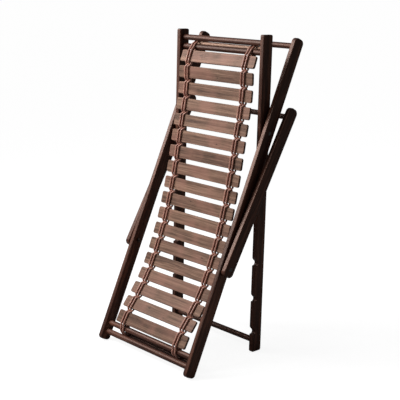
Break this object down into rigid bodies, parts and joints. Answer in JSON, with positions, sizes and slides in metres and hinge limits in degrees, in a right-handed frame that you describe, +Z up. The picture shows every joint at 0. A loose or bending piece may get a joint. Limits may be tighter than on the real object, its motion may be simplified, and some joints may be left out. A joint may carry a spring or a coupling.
{
  "type": "folding deck chair",
  "caption": "Folding deck chair in dark stained wood with a hanging sling of flat slats lashed together by twined cord.",
  "frame": {"origin": "middle of the footprint on the floor, under the chair standing nearly folded", "axes": "+X to the right, -Y to the front where the slats face, +Z up"},
  "size_m": [0.5813, 0.5792, 1.1979],
  "materials": {
    "frame_wood": "dark espresso stain, satin",
    "slat_wood": "brown stain with visible grain and knots, satin",
    "natural_wood": "plain unstained wood",
    "cord": "braided reddish brown cord with a slight sheen",
    "steel": "dark blued steel"
  },
  "bodies": {
    "back_frame": {"back_rail_left": "frame_wood", "back_rail_right": "frame_wood", "foot_stretcher": "frame_wood", "head_inner_bar": "frame_wood", "head_outer_bar": "frame_wood", "head_rod": "frame_wood", "head_cord_loops": "cord", "frame_pivot_bolts": "steel", "frame_pivot_washers": "steel", "frame_pivot_nuts": "steel", "strut_pivot_bolts": "steel", "strut_pivot_washers": "steel", "strut_pivot_nuts": "steel"},
    "seat_frame": {"seat_rail_left": "frame_wood", "seat_rail_right": "frame_wood", "front_inner_bar": "frame_wood", "front_outer_bar": "frame_wood", "rear_stretcher": "frame_wood", "front_rod": "natural_wood", "front_cord_loops": "cord"},
    "prop_frame": {"prop_arm_left": "frame_wood", "prop_arm_right": "frame_wood", "prop_crossbar": "frame_wood"},
    "sling_01": {"slat_01": "slat_wood", "lashing_01": "cord"},
    "sling_02": {"slat_02": "slat_wood", "lashing_02": "cord"},
    "sling_03": {"slat_03": "slat_wood", "lashing_03": "cord"},
    "sling_04": {"slat_04": "slat_wood", "lashing_04": "cord"},
    "sling_05": {"slat_05": "slat_wood", "lashing_05": "cord"},
    "sling_06": {"slat_06": "slat_wood", "lashing_06": "cord"},
    "sling_07": {"slat_07": "slat_wood", "lashing_07": "cord"},
    "sling_08": {"slat_08": "slat_wood", "lashing_08": "cord"},
    "sling_09": {"slat_09": "slat_wood", "lashing_09": "cord"},
    "sling_10": {"slat_10": "slat_wood", "lashing_10": "cord"},
    "sling_11": {"slat_11": "slat_wood", "lashing_11": "cord"},
    "sling_12": {"slat_12": "slat_wood", "lashing_12": "cord"},
    "sling_13": {"slat_13": "slat_wood", "lashing_13": "cord"},
    "sling_14": {"slat_14": "slat_wood", "lashing_14": "cord"},
    "sling_15": {"slat_15": "slat_wood", "lashing_15": "cord"},
    "sling_16": {"slat_16": "slat_wood", "lashing_16": "cord"},
    "sling_17": {"slat_17": "slat_wood", "lashing_17": "cord"},
    "sling_18": {"slat_18": "slat_wood", "lashing_18": "cord"}
  },
  "joints": [
    {"name": "frame_fold", "type": "hinge", "parent": "back_frame", "child": "seat_frame", "pos_m": [0, 0.11887, 0.84447], "axis": [1, 0, 0], "range_deg": [-13.1, 52.3]},
    {"name": "prop_swing", "type": "hinge", "parent": "back_frame", "child": "prop_frame", "pos_m": [0, -0.09835, 0.37863], "axis": [-1, 0, 0], "range_deg": [-1.6, 104.55]},
    {"name": "sling_move_01", "type": "hinge", "parent": "back_frame", "child": "sling_01", "pos_m": [0, 0.11805, 0.84629], "axis": [1, 0, 0], "range_deg": [-13.28, 52.73]},
    {"name": "sling_move_02", "type": "hinge", "parent": "back_frame", "child": "sling_02", "pos_m": [0, 0.11695, 0.848], "axis": [1, 0, 0], "range_deg": [-13.39, 53.17]},
    {"name": "sling_move_03", "type": "hinge", "parent": "back_frame", "child": "sling_03", "pos_m": [0, 0.11697, 0.84763], "axis": [1, 0, 0], "range_deg": [-13.35, 53.01]},
    {"name": "sling_move_04", "type": "hinge", "parent": "back_frame", "child": "sling_04", "pos_m": [0, 0.12118, 0.84256], "axis": [1, 0, 0], "range_deg": [-12.54, 49.77]},
    {"name": "sling_move_05", "type": "hinge", "parent": "back_frame", "child": "sling_05", "pos_m": [0, 0.14176, 0.83568], "axis": [1, 0, 0], "range_deg": [-9.46, 37.45]},
    {"name": "sling_move_06", "type": "hinge", "parent": "back_frame", "child": "sling_06", "pos_m": [0, 0.18611, 0.85498], "axis": [1, 0, 0], "range_deg": [-6.12, 24.13]},
    {"name": "sling_move_07", "type": "hinge", "parent": "back_frame", "child": "sling_07", "pos_m": [0, 0.25559, 0.91909], "axis": [1, 0, 0], "range_deg": [-3.97, 15.57]},
    {"name": "sling_move_08", "type": "hinge", "parent": "back_frame", "child": "sling_08", "pos_m": [0, 0.38137, 1.07121], "axis": [1, 0, 0], "range_deg": [-2.48, 9.59]},
    {"name": "sling_move_09", "type": "hinge", "parent": "back_frame", "child": "sling_09", "pos_m": [0, 0.74908, 1.5711], "axis": [1, 0, 0], "range_deg": [-1.23, 4.62]},
    {"name": "sling_move_10", "type": "slide", "parent": "back_frame", "child": "sling_10", "axis": [0, 0.8175, -0.5759], "range_m": [-0.02504, 0.09845]},
    {"name": "sling_move_11", "type": "hinge", "parent": "back_frame", "child": "sling_11", "pos_m": [0, -1.5463, -1.72588], "axis": [1, 0, 0], "range_deg": [-2.17, 0.62]},
    {"name": "sling_move_12", "type": "hinge", "parent": "back_frame", "child": "sling_12", "pos_m": [0, -0.77139, -0.64107], "axis": [1, 0, 0], "range_deg": [-4.24, 1.14]},
    {"name": "sling_move_13", "type": "hinge", "parent": "back_frame", "child": "sling_13", "pos_m": [0, -0.50588, -0.27746], "axis": [1, 0, 0], "range_deg": [-6.53, 1.71]},
    {"name": "sling_move_14", "type": "hinge", "parent": "back_frame", "child": "sling_14", "pos_m": [0, -0.37789, -0.10758], "axis": [1, 0, 0], "range_deg": [-9.06, 2.34]},
    {"name": "sling_move_15", "type": "hinge", "parent": "back_frame", "child": "sling_15", "pos_m": [0, -0.30714, -0.01705], "axis": [1, 0, 0], "range_deg": [-11.88, 3.05]},
    {"name": "sling_move_16", "type": "hinge", "parent": "back_frame", "child": "sling_16", "pos_m": [0, -0.26724, 0.03336], "axis": [1, 0, 0], "range_deg": [-15.05, 3.84]},
    {"name": "sling_move_17", "type": "hinge", "parent": "back_frame", "child": "sling_17", "pos_m": [0, -0.24898, 0.05776], "axis": [1, 0, 0], "range_deg": [-18.15, 4.62]},
    {"name": "sling_move_18", "type": "hinge", "parent": "back_frame", "child": "sling_18", "pos_m": [0, -0.24331, 0.06777], "axis": [1, 0, 0], "range_deg": [-20.94, 5.32]}
  ],
  "couplings": [
    {"joint": "sling_move_01", "follows": "frame_fold", "ratio": 1.0064},
    {"joint": "sling_move_02", "follows": "frame_fold", "ratio": 1.0147},
    {"joint": "sling_move_03", "follows": "frame_fold", "ratio": 1.0116},
    {"joint": "sling_move_04", "follows": "frame_fold", "ratio": 0.9497},
    {"joint": "sling_move_05", "follows": "frame_fold", "ratio": 0.7142},
    {"joint": "sling_move_06", "follows": "frame_fold", "ratio": 0.4594},
    {"joint": "sling_move_07", "follows": "frame_fold", "ratio": 0.2958},
    {"joint": "sling_move_08", "follows": "frame_fold", "ratio": 0.1815},
    {"joint": "sling_move_09", "follows": "frame_fold", "ratio": 0.0864},
    {"joint": "sling_move_10", "follows": "frame_fold", "m_per_rad": 0.10731},
    {"joint": "sling_move_11", "follows": "frame_fold", "ratio": -0.0395},
    {"joint": "sling_move_12", "follows": "frame_fold", "ratio": -0.0792},
    {"joint": "sling_move_13", "follows": "frame_fold", "ratio": -0.1229},
    {"joint": "sling_move_14", "follows": "frame_fold", "ratio": -0.1713},
    {"joint": "sling_move_15", "follows": "frame_fold", "ratio": -0.2252},
    {"joint": "sling_move_16", "follows": "frame_fold", "ratio": -0.2858},
    {"joint": "sling_move_17", "follows": "frame_fold", "ratio": -0.3452},
    {"joint": "sling_move_18", "follows": "frame_fold", "ratio": -0.3985}
  ]
}
